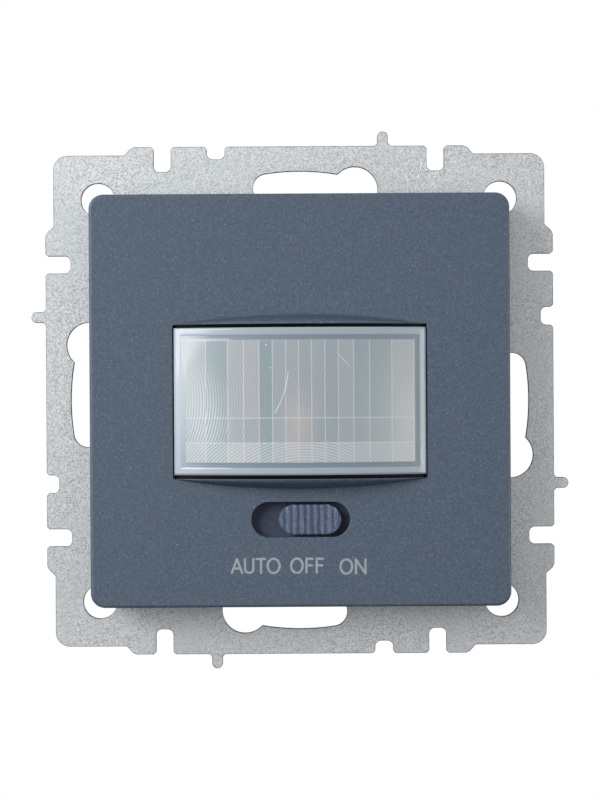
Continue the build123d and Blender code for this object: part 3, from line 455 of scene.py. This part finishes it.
column_shares = [0.0565, 0.0585, 0.0585, 0.068, 0.07, 0.098]
row_shares = [0.159, 0.204]
field_shift = 0.16 * mm
line_decimals = 7
collar_lines = 3
right_lines = np.cumsum(column_shares) * 2 * field_half_width
column_lines = np.concatenate([-right_lines[::-1], [0], right_lines]) - field_shift
row_lines = -field_half_height + 2 * field_half_height * np.cumsum(row_shares)


def bowed(x):
    """Height of the bowed front: an arc whose middle is at the peak."""
    return peak - bow + chord_rise(x, half_width, bow)


def spaced(stops, step, margin):
    """Grid lines at each stop and at a margin on both sides of it, and even steps between the stops."""
    lines = []
    for start, end in zip(stops[:-1], stops[1:]):
        count = max(2, round((end - start - 2 * margin) / step) + 1)
        lines.append([start])
        lines.append(np.linspace(start + margin, end - margin, count))
    return np.concatenate(lines + [[stops[-1]]])


def lens_stops(half, field_half, inner_lines):
    """Where the relief changes along one side of the lens, from edge to edge. Lines are rounded to 0.0001 mm,
    so that those that lie together count once."""
    edge_turn = half - edge_radius * (1 - np.cos(np.radians([30, 60, 90])))
    steps = [half - rim, half - rim - wall, field_half + wall, field_half]
    outer = np.concatenate([[half], edge_turn, steps])
    return np.unique(np.concatenate([-outer, inner_lines, outer]).round(line_decimals))


def inwards(x, z):
    """Distance from the edge of the lens, with z counted from its middle."""
    return np.minimum(half_width - np.abs(x), half_height - np.abs(z))


def on_ridge(x, z):
    """1 on a line between two facets, falling to 0 at the ridge's foot."""
    to_column = np.min(np.abs(x[..., None] - column_lines), axis=-1)
    to_row = np.min(np.abs(z[..., None] - row_lines), axis=-1)
    return np.clip(1 - np.minimum(to_column, to_row) / ridge, 0, 1) * on_field(x, z)


def on_field(x, z):
    """1 on the facets, 0 on the rim and the channel."""
    across = np.abs(x) < field_half_width + wall / 4
    along = np.abs(z) < field_half_height + wall / 4
    return (across & along).astype(float)


def lens_front(x, z):
    """The bowed front with a rounded edge, a sunk channel inside the rim, and ridges between the facets."""
    depth_in = inwards(x, z)
    edge = np.clip(edge_radius - depth_in, 0, edge_radius)
    rounding = edge_radius - np.sqrt(edge_radius**2 - edge**2)
    sunk = np.clip((depth_in - rim) / wall, 0, 1) * np.clip((rim + channel - depth_in) / wall, 0, 1)
    facets = on_field(x, z) * (1 - on_ridge(x, z))
    return bowed(x) - rounding - channel_depth * sunk - facet_drop * facets


def lens_back(x, z):
    """The same bow one wall further in, inside the side walls."""
    hollow = (np.abs(x) < half_width - shell) & (np.abs(z) < half_height - shell)
    return np.where(hollow, bowed(x) - shell, rear)


def collared(lines, half, outer):
    """Grid lines with three more at each end: the flange's rear edge, its front edge and its root."""
    return np.concatenate([[-outer, -outer, -half], lines, [half, outer, outer]])


column_step = 0.35 * mm
row_step = 0.6 * mm
x_lines = spaced(lens_stops(half_width, field_half_width, column_lines), column_step, ridge)
z_lines = spaced(lens_stops(half_height, field_half_height, row_lines), row_step, ridge)
x, z = np.meshgrid(
    collared(x_lines, half_width, half_width + flange), collared(z_lines, half_height, half_height + flange)
)
rows, columns = x.shape
from_side = np.minimum(np.arange(columns), np.arange(columns)[::-1])
from_end = np.minimum(np.arange(rows), np.arange(rows)[::-1])
collar = np.minimum(from_side[None, :], from_end[:, None])
flange_heights = [np.full_like(x, rear), rear + flange_thickness]
front = np.select([collar == 0, collar < collar_lines], flange_heights, lens_front(x, z))
back = np.where(collar < collar_lines, rear, lens_back(x, z))
quads = grid_faces(rows, columns)
points = np.concatenate([np.stack([x, -h, z + middle_z], axis=-1).reshape(-1, 3) for h in (front, back)])
lens_data = bpy.data.meshes.new("fresnel_lens_moulding")
lens_data.from_pydata(points, [], np.concatenate([quads, quads[:, ::-1] + rows * columns]).tolist())

# The photograph shows a black gap around the lens: there the flange and the outer walls are drawn black, as
# painted shade
is_front = np.concatenate([(collar >= collar_lines).ravel(), np.zeros(rows * columns, bool)])
outside = np.concatenate([~is_front[quads].all(axis=1), np.zeros(len(quads), bool)])
lens_data.polygons.foreach_set("material_index", outside.astype(np.int32))

# Marks for the shader: the ridges, the channel, the facets, each one's number and column, and the lower row
point_x = points[:, 0]
point_z = points[:, 2] - middle_z
in_channel = (inwards(point_x, point_z) > rim + wall / 2) & (on_field(point_x, point_z) < 0.5)
corner_vertices = np.zeros(len(lens_data.loops), np.int32)
lens_data.loops.foreach_get("vertex_index", corner_vertices)
corners = points[corner_vertices].reshape(-1, 4, 3)
middles = corners.mean(axis=1)
face_x = middles[:, 0]
face_z = middles[:, 2] - middle_z
facet_edges = np.concatenate([[-field_half_width], column_lines, [field_half_width]])
facet_column = np.clip(np.searchsorted(facet_edges, face_x) - 1, 0, len(facet_edges) - 2)
facet_row = np.searchsorted(row_lines, face_z)
facet_middle = (facet_edges[facet_column] + facet_edges[facet_column + 1]) / 2
numbers_per_row = 20
lens_marks = {
    "ridge": ("POINT", on_ridge(point_x, point_z) * is_front),
    "channel": ("POINT", in_channel * is_front),
    "on_field": ("FACE", on_field(face_x, face_z) * (-middles[:, 1] > rear + 2 * flange_thickness)),
    "facet": ("FACE", facet_column + numbers_per_row * facet_row),
    "column": ("FACE", facet_column),
    "lower_row": ("FACE", facet_row == 0),
}
for label, (domain, values) in lens_marks.items():
    attribute = lens_data.attributes.new(label, "FLOAT", domain)
    attribute.data.foreach_set("value", values.astype(np.float32))

# The rings of an upper facet have their centre outside it, and those of the lower row share one. The UV map
# holds each corner's place from that centre, counted in rings.
upper_offset = 14.5 * mm
lower_x = 0.6 * mm
lower_z = -20.5 * mm
centre_x = np.where(facet_row == 0, lower_x, facet_middle + np.sign(facet_middle) * upper_offset)
centre_z = np.where(facet_row == 0, lower_z, 0.0)
from_centre = np.stack([corners[:, :, 0] - centre_x[:, None], corners[:, :, 2] - centre_z[:, None]], axis=-1)
rings = lens_data.uv_layers.new(name="ring_place")
rings.data.foreach_set("uv", (from_centre / ring_pitch).reshape(-1))

# High-density polyethylene, injection moulded: a milky satin sheet with a thin gloss. Each facet sends the
# light elsewhere, so neighbours differ by a shade, and the rings catch the light as fine arcs. The real
# rings get finer towards the outside, and are drawn 0.38 mm apart all over so that they show.
milky_pe, tree, shader = surface("milky_polyethylene")
place = add(tree, "TexCoord").outputs["Object"]
marks = {label: add(tree, "Attribute", attribute_name=label).outputs["Fac"] for label in lens_marks}


def falloff(tree, centre, reach, height, strength):
    """A soft spot on the front, in millimetres: its strength at the centre (x, z), and an S-curve down to 0
    at its reach along x and its height along z."""
    centre = (centre[0] * mm, 0, centre[1] * mm)
    per_reach = (1 / (reach * mm), 0, 1 / (height * mm))
    moved = add(tree, "VectorMath", {0: place, 1: centre}, operation="SUBTRACT")
    scaled = add(tree, "VectorMath", {0: moved, 1: per_reach}, operation="MULTIPLY")
    distance = add(tree, "VectorMath", {0: scaled}, operation="LENGTH")
    ends = {"To Min": strength, "To Max": 0.0}
    return add(tree, "MapRange", {"Value": distance, **ends}, interpolation_type="SMOOTHSTEP")


# Each facet's painted light, a shade for where it sends the light, over that of its column
column_chance = add(tree, "TexWhiteNoise", {"W": marks["column"]}, noise_dimensions="1D")
column_stops = [(0.0, "#778d93"), (0.5, "#8d99a2"), (1.0, "#a0a2a8")]
column_painted_shade = add(tree, "ValToRGB", {"Fac": column_chance}, stops=column_stops)
facet_chance = add(tree, "TexWhiteNoise", {"W": marks["facet"]}, noise_dimensions="1D")
own_painted_shade = add(tree, "ValToRGB", {"Fac": facet_chance}, stops=[(0.0, "#7a8c90"), (1.0, "#9fa1a4")])
facet_shade = add(tree, "Mix", {"Factor": 0.35, "A": column_painted_shade, "B": own_painted_shade}, data_type="RGBA")

# The rings get a painted highlight where they face the light: on the outer facets of the left, the lower row
# and the right
ring_uv = add(tree, "UVMap", uv_map="ring_place")
ring_count = add(tree, "VectorMath", {0: ring_uv}, operation="LENGTH")
ring_angle = add(tree, "Math", {0: ring_count, 1: 2 * math.pi}, operation="MULTIPLY")
ring_cosine = add(tree, "Math", {0: ring_angle}, operation="COSINE")
ring_wave = add(tree, "MapRange", {"Value": ring_cosine, "From Min": -1.0})
ring_light = 0.1
lit_rings = (
    falloff(tree, (-13.0, -3.0), 5.0, 11.0, 1.0),
    add(tree, "Math", {0: marks["lower_row"], 1: 0.6}, operation="MULTIPLY"),
    falloff(tree, (15.0, -3.0), 3.4, 9.0, 0.5),
)
for part in lit_rings:
    ring_light = add(tree, "Math", {0: part, 1: ring_light}, operation="MAXIMUM")
ring_highlight = add(tree, "Math", {0: ring_wave, 1: ring_light}, operation="MULTIPLY")

# Tints over the facets: the sensor behind the lens, then painted highlights on the lit ends, the lower row
# and the rings
tints_and_highlights = (
    (falloff(tree, (0.0, -3.2), 3.4, 6.5, 0.6), "#b5aba8"),
    (falloff(tree, (0.9, 0.4), 1.6, 2.2, 0.5), "#8f9ba8"),
    (falloff(tree, (-16.0, 3.0), 5.0, 14.0, 0.55), "#bcc4c9"),
    (falloff(tree, (16.0, -3.0), 11.0, 22.0, 0.6), "#bcc0c0"),
    (add(tree, "Math", {0: marks["lower_row"], 1: 0.3}, operation="MULTIPLY"), "#b4b9bc"),
    (add(tree, "Math", {0: ring_highlight, 1: 0.7}, operation="MULTIPLY"), "#dce1e3"),
)
for part, tint in tints_and_highlights:
    facet_shade = add(tree, "Mix", {"Factor": part, "A": facet_shade, "B": tint}, data_type="RGBA")

# The rim and the channel, with a painted highlight at the left, then the facets, then painted highlights on
# the ridges between them
left_glare = falloff(tree, (-17.5, 2.0), 7.0, 20.0, 1.0)
lens_shade = add(tree, "Mix", {"Factor": left_glare, "A": "#97a3ae", "B": "#b0bbc5"}, data_type="RGBA")
channel_shade = add(tree, "Mix", {"Factor": left_glare, "A": "#6f7d8a", "B": "#b0bbc4"}, data_type="RGBA")
# Painted highlights on the ridges between the facets
ridge_highlight = add(tree, "Math", {0: marks["ridge"], 1: 0.75}, operation="MULTIPLY")
layers = (
    (marks["channel"], channel_shade),
    (marks["on_field"], facet_shade),
    (ridge_highlight, "#c9d1d6"),
)
for part, over in layers:
    lens_shade = add(tree, "Mix", {"Factor": part, "A": lens_shade, "B": over}, data_type="RGBA")
ring_height = add(tree, "Math", {0: ring_wave, 1: marks["on_field"]}, operation="MULTIPLY")
bump = add(tree, "Bump", {"Height": ring_height, "Distance": 0.012 * mm})
satin = add(tree, "MapRange", {"Value": grain(tree, 3.0), "To Min": 0.36, "To Max": 0.5})
feed(tree, shader, {"Base Color": lens_shade, "Roughness": satin, "Normal": bump, "IOR": 1.54})
feed(tree, shader, {"Coat Weight": 0.55, "Coat Roughness": 0.05, "Coat IOR": 1.5})
lens_data.materials.append(milky_pe)
# The black of the gap around the lens: painted shade
lens_data.materials.append(black_abs_and_gap_shade)
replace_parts(finished("fresnel_lens_moulded", lens_data, "base"), "fresnel_lens")


# Pen lines: the printed words, the scratches on the plate and the scuffs on the lens
pen_sides = 13
layer_step = 0.08


def stroke(path, pen, ink, surface_y):
    """Points and quads of one pen line: a ring of the pen's radius swept along the path in the XZ plane and
    pressed flat to the ink's thickness. Open ends are round: the radius falls as a cosine while the place
    runs on as a sine. The surface is a function of x."""
    path = np.asarray(path, float)
    closed = np.allclose(path[0], path[-1])
    radius = np.ones(len(path))
    if not closed:
        turn = np.radians([90, 60, 30])
        for end in (0, -1):
            run = path[end] - path[1 if end == 0 else -2]
            cap = path[end] + run / np.linalg.norm(run) * pen * np.sin(turn)[:, None]
            path = np.concatenate([cap, path] if end == 0 else [path, cap[::-1]])
            radius = np.concatenate([np.cos(turn), radius] if end == 0 else [radius, np.cos(turn)[::-1]])
    along = np.gradient(path, axis=0)
    if closed:
        along[0] = along[-1] = path[1] - path[-2]
    along /= np.linalg.norm(along, axis=1)[:, None]
    around = np.linspace(0, 2 * math.pi, pen_sides)
    across = pen * radius[:, None] * np.cos(around)
    x = path[:, :1] - along[:, 1:] * across
    z = path[:, 1:] + along[:, :1] * across
    y = surface_y(x) - ink * radius[:, None] * np.sin(around)
    grid = np.stack([x, y, z], axis=-1).reshape(-1, 3)
    return grid, grid_faces(len(path), pen_sides)


def pen_piece(name, strokes, pen, ink, surface_y, body, material):
    """One mesh of several pen lines, each a little thicker than the last so that none lie face to face."""
    points = []
    quads = []
    count = 0
    for index, path in enumerate(strokes):
        grid, faces = stroke(path, pen, ink * (1 + layer_step * index), surface_y)
        points.append(grid)
        quads.append(faces + count)
        count += len(grid)
    mesh = bpy.data.meshes.new(name)
    mesh.from_pydata(np.concatenate(points), [], np.concatenate(quads).tolist())
    mesh.materials.append(material)
    return finished(name, mesh, body)


# Letters as pen lines in a unit box, x then z. The foot of the U is a half ellipse, the O is a whole one.
turn = np.linspace(0, 2 * math.pi, 33)
half_turn = turn[:17]
foot_of_u = np.stack([0.5 - 0.5 * np.cos(half_turn), 0.3 - 0.3 * np.sin(half_turn)], axis=1)
letters = {
    "A": [[(0, 0), (0.5, 1)], [(0.5, 1), (1, 0)], [(0.2, 0.33), (0.8, 0.33)]],
    "U": [np.concatenate([[(0, 1)], foot_of_u, [(1, 1)]])],
    "T": [[(0, 1), (1, 1)], [(0.5, 1), (0.5, 0)]],
    "O": [np.stack([0.5 - 0.5 * np.sin(turn), 0.5 - 0.52 * np.cos(turn)], axis=1)],
    "F": [[(0, 0), (0, 1)], [(0, 1), (1, 1)], [(0, 0.52), (0.9, 0.52)]],
    "N": [[(0, 0), (0, 1)], [(0, 1), (1, 0)], [(1, 0), (1, 1)]],
}

# The words, in millimetres: half the pen's width, the letters' height, and for each word the height of its
# foot and the left edge and width of each letter
pen_radius = 0.16
letter_height = 2.2
words = {
    "AUTO": (-23.7, [(-9.6, 1.74), (-7.79, 1.45), (-6.2, 1.5), (-4.7, 1.95)]),
    "OFF": (-23.7, [(-1.5, 1.9), (0.6, 1.15), (2.0, 1.15)]),
    "ON": (-23.85, [(5.25, 1.9), (7.35, 1.62)]),
}
ink_film = 0.012 * mm
for word, (foot, places) in words.items():
    strokes = []
    for letter, (left, width) in zip(word, places):
        for path in letters[letter]:
            unit = np.asarray(path, float)
            x = left + pen_radius + unit[:, 0] * (width - 2 * pen_radius)
            z = foot + pen_radius + unit[:, 1] * (letter_height - 2 * pen_radius)
            strokes.append(np.stack([x, z], axis=1) * mm)
    pen_piece(
        "print_" + word.lower(), strokes, pen_radius * mm, ink_film, lambda x: -cover_front + 0 * x,
        "base", slate_print,
    )

# Wear, as on the photographed switch, which is used: pale scuffed plastic and bare bright steel. A scuff on
# the lens is half a pen's width and its lines, in millimetres, and so are the scratches' lines.
scuff_white = moulded("scuffed_polyethylene", "#ccd5da", "#dde3e6", 0.2, 0.5)
scuffs = {
    "scuff_specks": (0.07, [[(-4.6, 7.52), (-4.5, 7.5)], [(-4.05, 4.4), (-4.0, 4.42)]]),
    "scuff_long": (0.045, [[(-1.55, 3.9), (-1.75, 2.6), (-2.1, 1.2), (-2.6, -0.2), (-3.4, -1.7)]]),
    "scuff_short": (0.035, [[(5.3, 6.2), (5.9, 5.5), (6.7, 4.6)]]),
    "scuff_rim": (0.05, [[(16.75, -6.2), (16.5, -7.2), (16.62, -8.4), (16.8, -8.8)]]),
}
plate_front = 1.0 * mm
bare_steel = moulded("scratched_steel", "#dfe3e5", "#eceff0", 0.2, 0.4)
scratches = [
    [(17.2, 33.2), (16.9, 31.8), (16.3, 29.3)],
    [(15.0, 31.3), (15.15, 30.5), (15.2, 29.6)],
    [(14.1, 34.4), (14.7, 35.2)],
]
scratch_pen = 0.04 * mm
scratch_burr = 0.008 * mm
pen_piece(
    "plate_scratches", [np.asarray(path) * mm for path in scratches], scratch_pen, scratch_burr,
    lambda x: -plate_front + 0 * x, "base", bare_steel,
)
scuff_burr = 0.01 * mm
for name, (pen, paths) in scuffs.items():
    pen_piece(
        name, [np.asarray(path) * mm for path in paths], pen * mm, scuff_burr,
        lambda x: -bowed(x) + facet_drop, "base", scuff_white,
    )


# Floor, light and camera
floor_drop = 350 * mm
floor_half = 3.0
floor_signs = [(-1, -1), (1, -1), (1, 1), (-1, 1)]
floor_corners = [(x * floor_half, y * floor_half, -floor_drop) for x, y in floor_signs]
floor_mesh = bpy.data.meshes.new("studio_floor")
floor_mesh.from_pydata(floor_corners, [], [(0, 1, 2, 3)])
floor = bpy.data.objects.new("studio_floor", floor_mesh)
bpy.context.scene.collection.objects.link(floor)

# White paper, uncoated: flat and even. Away from the object it glows white, to the camera from close by, and
# to reflections only far out, so that the object mirrors a plain floor.
paper, tree, shader = surface("white_paper_sweep")
paper_shade = add(tree, "ValToRGB", {"Fac": grain(tree, 1.0)}, stops=[(0.3, "#ececec"), (0.7, "#f0f0f0")])
feed(tree, shader, {"Base Color": paper_shade, "Roughness": 0.9})
rays = add(tree, "LightPath").outputs
place = add(tree, "TexCoord").outputs["Object"]
away = add(tree, "VectorMath", {0: place}, operation="LENGTH")
near_ends = {"From Min": 0.34, "From Max": 0.4}
near_glow = add(tree, "MapRange", {"Value": away, **near_ends}, interpolation_type="SMOOTHSTEP")
far_ends = {"From Min": 1.0, "From Max": 1.8}
far_glow = add(tree, "MapRange", {"Value": away, **far_ends}, interpolation_type="SMOOTHSTEP")
mirror = add(tree, "Math", {0: rays["Is Glossy Ray"], 1: rays["Is Transmission Ray"]}, operation="MAXIMUM")
seen_glow = add(tree, "Math", {0: near_glow, 1: rays["Is Camera Ray"]}, operation="MULTIPLY")
mirror_glow = add(tree, "Math", {0: far_glow, 1: mirror}, operation="MULTIPLY")
glow_part = add(tree, "Math", {0: seen_glow, 1: mirror_glow}, operation="MAXIMUM")
glow = add(tree, "Emission", {"Color": "#ffffff", "Strength": 1.0})
sweep = add(tree, "MixShader", {"Fac": glow_part, 1: shader, 2: glow})
feed(tree, tree.nodes["Material Output"], {"Surface": sweep})
floor_mesh.materials.append(paper)

# The world is white to the camera, to reflections and through clear parts, and a soft sky to all else
world = bpy.data.worlds.new("studio")
bpy.context.scene.world = world
world.use_nodes = True
tree = world.node_tree
tree.nodes.clear()
rays = add(tree, "LightPath").outputs
seen = rays["Is Camera Ray"]
for kind in ("Is Glossy Ray", "Is Transmission Ray"):
    seen = add(tree, "Math", {0: seen, 1: rays[kind]}, operation="MAXIMUM")
white = add(tree, "Background", {"Color": "#ffffff", "Strength": 1.0})
soft_sky = add(tree, "Background", {"Color": "#ffffff", "Strength": 0.14})
sky = add(tree, "MixShader", {"Fac": seen, 1: soft_sky, 2: white})
add(tree, "OutputWorld", {"Surface": sky})

grid_angle = math.radians(60)


def soft_box(name, azimuth, elevation, distance, side, radiance, roll=0.0):
    """A square soft box with a grid over it, that faces the origin from an azimuth, positive to the right of
    straight ahead, and an elevation, both in degrees. Its energy is its radiance times pi times its area."""
    lamp = bpy.data.lights.new(name, "AREA")
    lamp.shape = "RECTANGLE"
    lamp.size = side
    lamp.size_y = side
    lamp.energy = radiance * math.pi * side * side
    lamp.spread = grid_angle
    holder = bpy.data.objects.new(name, lamp)
    bpy.context.scene.collection.objects.link(holder)
    turn = math.radians(azimuth)
    lift = math.radians(elevation)
    way = Vector((math.sin(turn) * math.cos(lift), -math.cos(turn) * math.cos(lift), math.sin(lift)))
    facing = (-way).to_track_quat("-Z", "Y").to_matrix().to_4x4()
    rolled = Matrix.Rotation(math.radians(roll), 4, "Z")
    holder.matrix_world = Matrix.Translation(way * distance) @ facing @ rolled


soft_box("key_soft_box", azimuth=-45, elevation=18, distance=0.5, side=0.3, radiance=1.5, roll=7)
soft_box("fill_soft_box", azimuth=62, elevation=-4, distance=0.6, side=0.3, radiance=0.7)

camera_distance = 388.7 * mm
camera_height = 1.15 * mm
camera_tilt = 0.17
camera_roll = 0.335
view_angle = 16.43
lens_camera = bpy.data.cameras.new("photo_camera")
lens_camera.sensor_fit = "VERTICAL"
lens_camera.sensor_height = 36
lens_camera.lens = lens_camera.sensor_height / 2 / math.tan(math.radians(view_angle) / 2)
lens_camera.clip_start = 0.01
lens_camera.clip_end = 20
camera = bpy.data.objects.new("photo_camera", lens_camera)
bpy.context.scene.collection.objects.link(camera)
camera.location = (0.0, -camera_distance, camera_height)
camera.rotation_euler = Euler((math.radians(90 - camera_tilt), 0.0, 0.0))
camera.rotation_euler.rotate_axis("Z", math.radians(-camera_roll))
bpy.context.scene.camera = camera
bpy.context.scene.view_settings.view_transform = "Standard"
